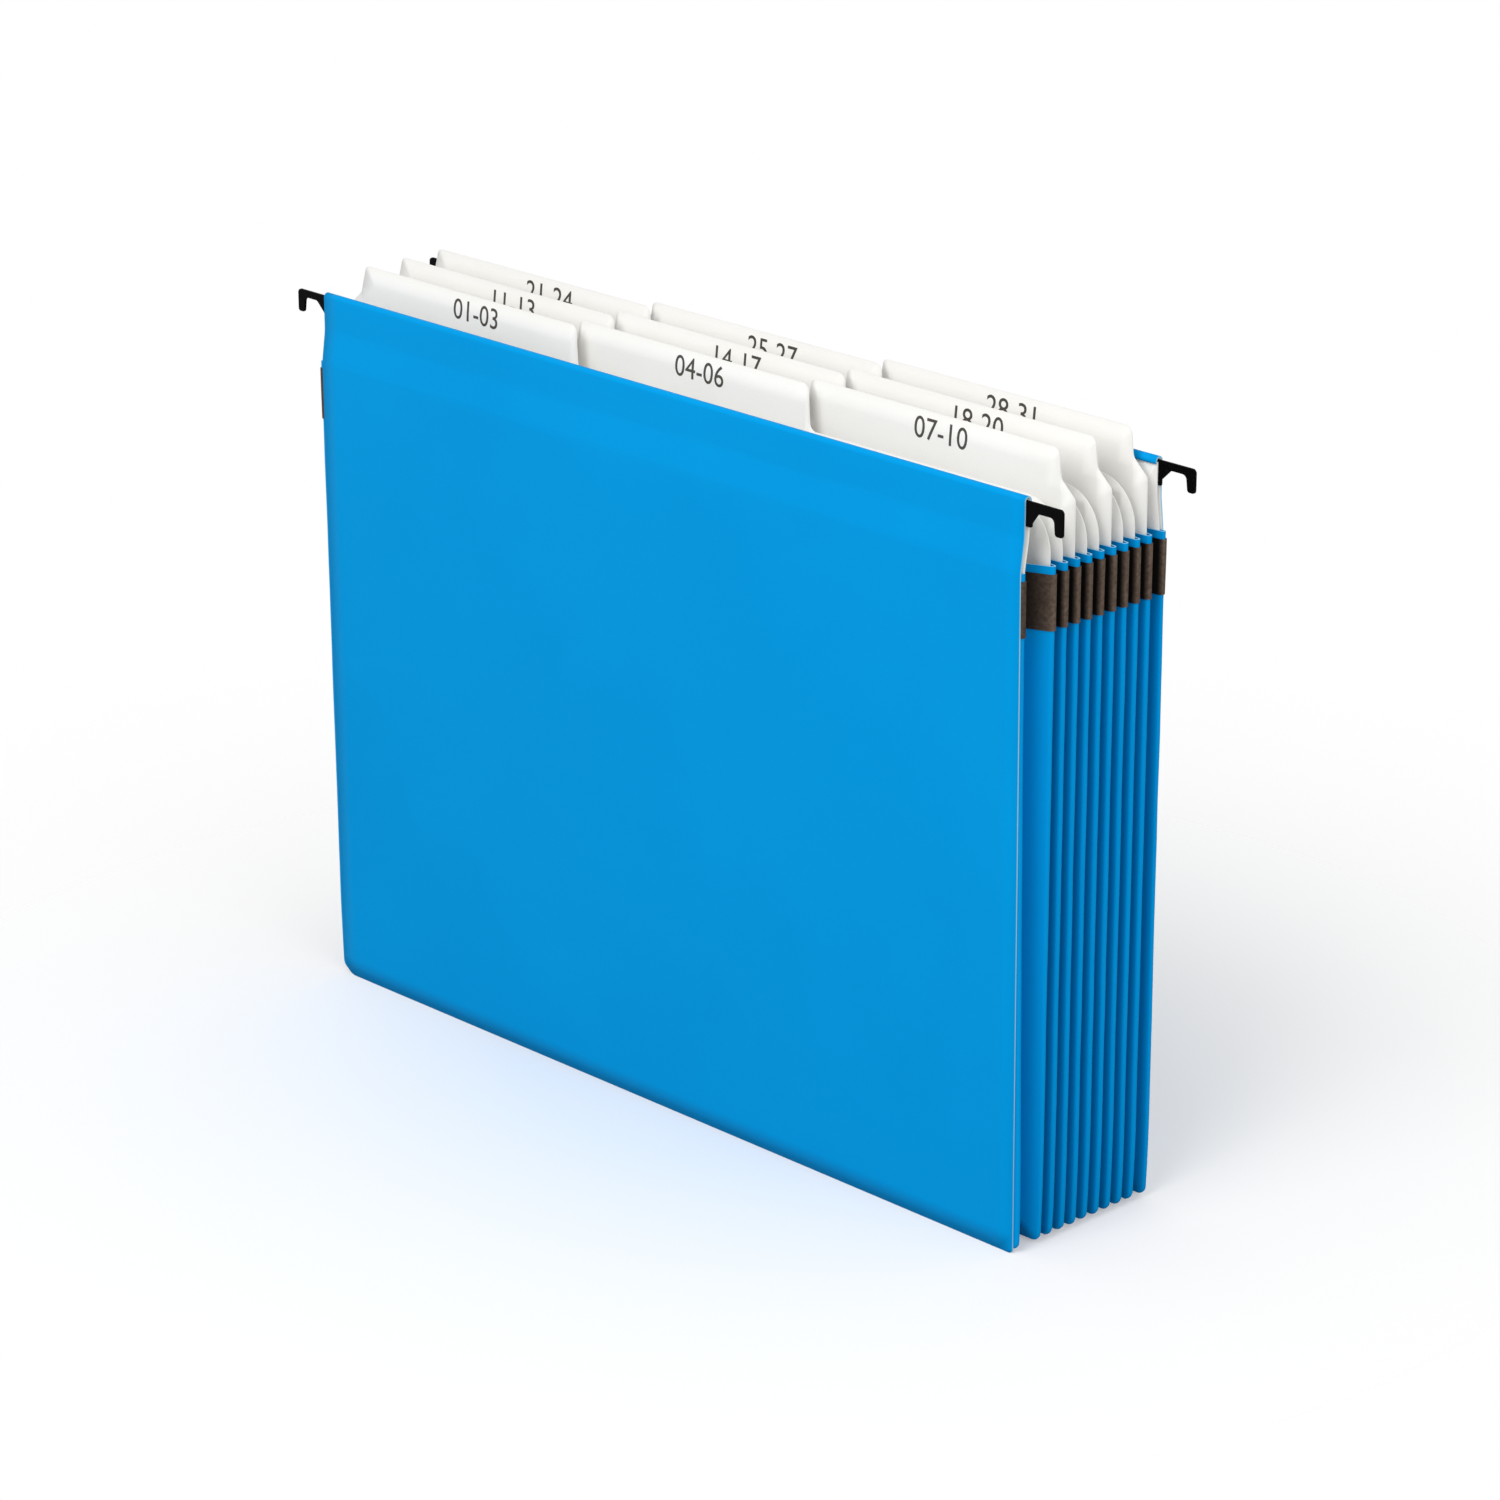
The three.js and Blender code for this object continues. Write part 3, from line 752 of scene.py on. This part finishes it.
def bellows_tree():
    """Draws a section out into a straight strip and bends that into the U of sides and bottom.

    Along the path, 0 to 1 is the left side downwards, 1 to 2 its corner, 2 to 3 the bottom, 3 to 4
    the right corner and 4 to 5 the right side upwards.
    """
    graph, given = new_tree("Bellows", {
        "Path Start": "Float", "Path End": "Float", "Rings": "Int",
        "Half Width": "Float", "Floor": "Float", "Top": "Float", "Lower End": "Float",
        "Corner Radius": "Float", "Tightest Corner": "Float",
        "Setback": "Float", "Setback Line": "Float", "Setback Reach": "Float", "Setback Top": "Float",
        "Pleat Shade Room": "Float", "Tuck": "Float", "Unevenness": "Float", "Seed": "Float",
        "Draw": "Float", "Draw Height": "Float",
        "Face Material": "Material", "Edge Material": "Material",
    })
    profile = graph.node("GeometryNodeMeshToCurve", {}, {"Mesh": given["Geometry"]})
    parameter = graph.node("GeometryNodeSplineParameter", {}, {}, "Length")
    on_points = {"data_type": "FLOAT", "domain": "POINT"}
    marked = graph.node("GeometryNodeStoreNamedAttribute", on_points, {
        "Geometry": profile, "Name": "across", "Value": parameter})
    path = graph.node("GeometryNodeCurvePrimitiveLine", {}, {
        "Start": graph.vector(0.0, 0.0, given["Path Start"]),
        "End": graph.vector(0.0, 0.0, given["Path End"])})
    path = graph.node("GeometryNodeResampleCurve", {"mode": "COUNT"}, {
        "Curve": path, "Count": given["Rings"]})
    strip = graph.node("GeometryNodeCurveToMesh", {}, {
        "Curve": path, "Profile Curve": marked, "Fill Caps": True})
    place = graph.node("GeometryNodeInputPosition", {}, {})
    n, y, along = graph.split(place)
    turned = along - PATH_MIDDLE
    from_middle = graph.math("ABSOLUTE", turned)
    from_strip_middle = graph.math(
        "ABSOLUTE", along - (given["Path Start"] + given["Path End"]) / 2)
    half_strip = (given["Path End"] - given["Path Start"]) / 2
    end_of_strip = graph.math("GREATER_THAN", from_strip_middle, half_strip - PATH_SLACK)
    ends = graph.node("GeometryNodeCaptureAttribute", {"domain": "FACE"}, {"Geometry": strip})
    ends.socket.node.capture_items.new("FLOAT", "end")
    graph.feed(ends.socket.node.inputs[1], end_of_strip)
    up = graph.clamp(from_middle - PATH_TO_SIDE)
    lifted = (given["Lower End"] + up * (given["Top"] - given["Lower End"])) / given["Setback Top"]
    noise_place = graph.vector(
        y * UNEVEN_BY_DEPTH,
        lifted * UNEVEN_BY_HEIGHT + graph.math("SIGN", turned) * UNEVEN_BY_SIDE, 0.0)
    noise = graph.noise(noise_place, 1.0, 1.0, given["Seed"])
    tuck = graph.math("GREATER_THAN", turned, 0.0) * given["Tuck"]
    near_front = graph.clamp((given["Setback Line"] - y) / given["Setback Reach"])
    n = n + (noise - UNEVEN_LEVEL) * given["Unevenness"] - near_front * lifted * (2 - lifted) * tuck
    low_down = graph.clamp(1 - lifted * given["Setback Top"] / given["Draw Height"])
    n = n - low_down * low_down * graph.clamp(from_middle * 5 - 1.5) * given["Draw"]
    angle = graph.clamp(PATH_TO_SIDE - from_middle) * (math.pi / 2)
    radius = graph.math("MAXIMUM", given["Corner Radius"] + n, given["Tightest Corner"])
    across = given["Half Width"] + n - radius * (1 - graph.math("COSINE", angle))
    across = across * graph.math("MINIMUM", from_middle * 2, 1.0) * graph.math("SIGN", turned)
    foot = given["Floor"] - n + radius
    start = graph.math("MAXIMUM", foot, given["Lower End"])
    height = foot - radius * graph.math("SINE", angle)
    # Painted shade: how far into its fold a point lies, against the width of its pocket, stored so
    # that the materials darken card and cloth there.
    in_first = graph.math("LESS_THAN", y, given["Setback Line"])
    pleat_shade_depth = n * -1 / (given["Pleat Shade Room"] * (1 + in_first * FIRST_PLEAT_ROOM))
    in_side = graph.math("GREATER_THAN", from_middle, PATH_TO_SIDE - PATH_SLACK)
    height = height + (start - height) * in_side + up * (given["Top"] - start)
    low = graph.math("MAXIMUM", 1 - height / given["Setback Top"], 0.0)
    depth = y + near_front * low * given["Setback"]
    shaded = graph.node("GeometryNodeStoreNamedAttribute", on_points, {
        "Geometry": Value(graph, ends.socket.node.outputs[0]),
        "Name": "pleat_shade_depth", "Value": pleat_shade_depth})
    bent = graph.node("GeometryNodeSetPosition", {}, {
        "Geometry": shaded,
        "Position": graph.vector(across, depth, height)})
    captured = Value(graph, ends.socket.node.outputs[1])
    faced = graph.node("GeometryNodeSetMaterial", {}, {
        "Geometry": bent, "Material": given["Face Material"]})
    shaded_and_cut(graph, faced, captured, given["Edge Material"])
    return graph.tree


bellows = bellows_tree()


def bellows_strip(name, section, inputs):
    """A strip with this section in (distance outwards, depth in the file), bent into its place."""
    mesh = bpy.data.meshes.new(name)
    count = len(section)
    edges = [(i, (i + 1) % count) for i in range(count)]
    mesh.from_pydata([(point.x, point.y, 0) for point in section], edges, [])
    common = {
        "Half Width": gusset_high.x, "Floor": gusset_low.z, "Corner Radius": GUSSET_CORNER,
        "Tightest Corner": TIGHTEST_CORNER, "Setback": FRONT_SETBACK, "Setback Top": GUSSET_TOP,
        "Setback Line": crest_places[1], "Setback Reach": crest_places[1] - crest_places[0],
        "Tuck": FRONT_TUCK, "Pleat Shade Room": PLEAT_SHADE_ROOM, "Unevenness": UNEVENNESS, "Seed": 5.0,
        "Draw": CORNER_DRAW, "Draw Height": CORNER_DRAW_HEIGHT,
    }
    return grown(bpy.data.objects.new(name, mesh), bellows, {**common, **inputs})


gusset = bellows_strip("gusset_card", band_outline(pleat_line(FLANGE_WIDTH), 0, GUSSET_CARD), {
    "Path Start": PATH_LEFT_TOP, "Path End": PATH_RIGHT_TOP, "Rings": 5 * RINGS_PER_STRETCH + 1,
    "Top": GUSSET_TOP, "Lower End": 0.0,
    "Face Material": blue_card, "Edge Material": blue_edge,
})
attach(gusset, "root")
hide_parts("gusset")


# Reinforcing tape: a band of dark brown book cloth glued over the pleats near the top of each side,
# where the folds would tear first. It follows every fold of the card below it.
TAPE_CLOTH = 0.25 * MM
TAPE_GAP = 0.1 * MM
THREAD_PITCH = 0.55 * MM
TAPE_LIFT = 1.5 * MM
TAPE_END_GAP = 0.3 * MM
WORN_PATCHES = 9 * MM
SLUB_SIZE = 1.1 * MM
FUZZ_SIZE = 0.4 * MM


def book_cloth():
    """Plain-woven cloth, filled and dyed: threads both ways with thicker spots, darker between; deep
    in the pleats, painted shade darkens it almost to black.
    """
    material, graph, shader, place = new_material("brown_book_cloth")
    across = graph.node("ShaderNodeAttribute", {"attribute_name": "across"}, {}, "Fac")
    _, _, height = graph.split(place)
    turn = 2 * math.pi / THREAD_PITCH
    weft = graph.math("SINE", across * turn)
    warp = graph.math("SINE", height * turn)
    weave = graph.clamp(0.5 + weft * warp * 0.5)
    worn = graph.noise(place, WORN_PATCHES, 4.0)
    fuzz = graph.noise(place, FUZZ_SIZE, 2.0)
    slubs = graph.clamp(graph.noise(place, SLUB_SIZE, 3.0) * 3 - 1)
    pleat_shade_depth = graph.node("ShaderNodeAttribute", {"attribute_name": "pleat_shade_depth"}, {}, "Fac")
    dark = graph.colours(worn, srgb(55, 45, 38), srgb(70, 57, 49))
    light = graph.colours(worn, srgb(105, 89, 77), srgb(130, 112, 98))
    woven = graph.colours(weave * 0.3 + fuzz * 0.2 + slubs * 0.5, dark, light)
    # Painted shade: the cloth goes almost black deep in the pleats.
    painted_shade = graph.clamp(pleat_shade_depth) ** 0.5
    graph.feed(shader.inputs["Base Color"], graph.colours(painted_shade, woven, srgb(9, 7, 6)))
    shader.inputs["Specular IOR Level"].default_value = 0.1
    shader.inputs["Roughness"].default_value = 0.8
    bump = {"Height": weave + fuzz * 0.5, "Strength": 0.5, "Distance": 0.08 * MM}
    graph.feed(shader.inputs["Normal"], graph.node("ShaderNodeBump", {}, bump))
    return material


cloth = book_cloth()


def gusset_tape(node, start, end):
    low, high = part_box(node)
    line = pleat_line(gusset_high.x - HALF_WIDTH - TAPE_END_GAP)
    offset = GUSSET_CARD / 2 + TAPE_GAP + TAPE_CLOTH / 2
    tape = bellows_strip(node + "_cloth", band_outline(line, offset, TAPE_CLOTH), {
        "Path Start": start, "Path End": end, "Rings": RINGS_PER_STRETCH // 2,
        "Top": high.z, "Lower End": low.z + TAPE_LIFT, "Face Material": cloth, "Edge Material": cloth,
    })
    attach(tape, "root")
    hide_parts(node)


gusset_tape("tape_left", PATH_LEFT_TOP, PATH_LEFT_TOP + 1)
gusset_tape("tape_right", PATH_RIGHT_TOP - 1, PATH_RIGHT_TOP)


# Dividers: nine white sheets that stand in the folds of the bellows and make ten pockets. Each has
# an index tab on top, in three columns, and a number printed on the tab.
DIVIDER_DROP = 5.5 * MM
SHOULDER_RADIUS = 13.5 * MM
DIVIDER_CORNER = 1.5 * MM
TAB_WIDTH = 97 * MM
TAB_END_INSET = 7.2 * MM
TAB_SIDE_SLOPE = 1.6 * MM
TAB_CORNER = 3 * MM
TAB_LEFT_CORNER = 1.6 * MM
TAB_FILLET = 2.5 * MM
TAB_NECK_RISE = 5 * MM
TAB_COLUMNS = 3
TAB_CURL = 0.9 * MM
INDEX_HEIGHT = 6.4 * MM
INDEX_BASELINE = 228.7 * MM
INK_THICKNESS = 0.03 * MM
LABEL_CUTS = 8
INDEX_SHIFT = 3.6 * MM
INDEX_BOLDNESS = 0.001
INDEX_LABELS = [
    "01-03", "04-06", "07-10", "11-13", "14-17", "18-20", "21-24", "25-27", "28-31"]
INK_GRAIN = 0.5 * MM
WELD_DISTANCE = INK_THICKNESS / 10
RAY_RUN_UP = 100 * MM
tab_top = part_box("divider_1")[1].z
body_top = COVER_HEIGHT - DIVIDER_DROP
column_step = HALF_WIDTH - TAB_END_INSET - TAB_WIDTH / 2


def printing_ink():
    """Dark ink on coated card, a little thinner in places."""
    material, graph, shader, place = new_material("index_ink")
    thin = graph.noise(place, INK_GRAIN, 3.0)
    graph.feed(shader.inputs["Base Color"], graph.colours(thin, srgb(58, 53, 47), srgb(76, 70, 63)))
    shader.inputs["Roughness"].default_value = 0.6
    return material


ink = printing_ink()


def divider_outline(column):
    """A divider whose tab is in the given column, from 0 at the left to 2 at the right."""
    neck = body_top + TAB_NECK_RISE
    left = column_step * (column - 1) - TAB_WIDTH / 2
    right = left + TAB_WIDTH
    right_foot = right + TAB_SIDE_SLOPE
    left_foot = left - TAB_SIDE_SLOPE
    right_end = [(HALF_WIDTH, body_top, SHOULDER_RADIUS), (right_foot, body_top, TAB_FILLET)]
    left_end = [(left_foot, body_top, TAB_FILLET), (-HALF_WIDTH, body_top, SHOULDER_RADIUS)]
    if column == TAB_COLUMNS - 1:
        right_end = [(HALF_WIDTH, body_top, TAB_FILLET), (right_foot, neck, TAB_FILLET)]
    if column == 0:
        left_end = [(left_foot, neck, TAB_FILLET), (-HALF_WIDTH, body_top, TAB_FILLET)]
    tab = [(right, tab_top, TAB_CORNER), (left, tab_top, TAB_LEFT_CORNER)]
    bottom = [(-HALF_WIDTH, sheet_floor, DIVIDER_CORNER), (HALF_WIDTH, sheet_floor, DIVIDER_CORNER)]
    corners = bottom + right_end + tab + left_end
    return rounded([(u, v - sheet_floor, radius) for u, v, radius in corners])


def index_label(name, body, middle, divider):
    """A printed label, laid on the front face of its divider."""
    text = bpy.data.curves.new(name, "FONT")
    text.body = body
    text.align_x = "CENTER"
    text.extrude = INK_THICKNESS / 2
    text.resolution_u = 4
    text.offset = INDEX_BOLDNESS
    source = bpy.data.objects.new(name + "_text", text)
    mesh = bpy.data.meshes.new_from_object(source)
    bpy.data.objects.remove(source)
    top = max(v.co.y for v in mesh.vertices)
    bottom = min(v.co.y for v in mesh.vertices)
    scale = INDEX_HEIGHT / (top - bottom)
    lettering = bmesh.new()
    lettering.from_mesh(mesh)
    bmesh.ops.remove_doubles(lettering, verts=lettering.verts, dist=WELD_DISTANCE)
    for level in spaced(bottom, top, (top - bottom) / LABEL_CUTS):
        everything = lettering.verts[:] + lettering.edges[:] + lettering.faces[:]
        bmesh.ops.bisect_plane(lettering, geom=everything, plane_co=(0, level, 0), plane_no=(0, 1, 0))
    bmesh.ops.recalc_face_normals(lettering, faces=lettering.faces)
    lettering.to_mesh(mesh)
    lettering.free()
    surface = BVHTree.FromPolygons(
        [v.co for v in divider.data.vertices], [p.vertices for p in divider.data.polygons])
    for vert in mesh.vertices:
        x = middle + vert.co.x * scale
        z = INDEX_BASELINE + (vert.co.y - bottom) * scale
        hit = surface.ray_cast(Vector((x, cad_low.y - RAY_RUN_UP, z)), Vector((0, 1, 0)))[0]
        vert.co = (x, hit.y - INK_THICKNESS - vert.co.z, z)
    mesh.materials.clear()
    mesh.materials.append(ink)
    label = bpy.data.objects.new(name, mesh)
    bpy.context.scene.collection.objects.link(label)
    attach(label, "root")


def divider(index):
    node = f"divider_{index + 1}"
    column = index % TAB_COLUMNS
    line = [(Vector((divider_places[index], height)), 0) for height in (sheet_floor, tab_top)]
    sheet = card_sheet(node + "_card", divider_outline(column), line, {
        "Thickness": INNER_CARD,
        "Wave Height": 0.45 * MM, "Wave Size": 120 * MM, "Wave Level": 0.5, "Seed": 11.0 + 3.7 * index,
        "Half Width": HALF_WIDTH, "Held Margin": 4 * MM, "Free Margin": 30 * MM,
        "Held Top": 1.0, "Curl": TAB_CURL, "Curl Start": body_top, "Curl Height": tab_top - body_top,
        "Face Material": white_card, "Back Material": white_card, "Edge Material": white_edge,
    })
    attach(sheet, "root")
    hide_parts(node)
    middle = column_step * (column - 1) + INDEX_SHIFT
    index_label(f"index_{index + 1}", INDEX_LABELS[index], middle, sheet)


for number in range(len(divider_places)):
    divider(number)
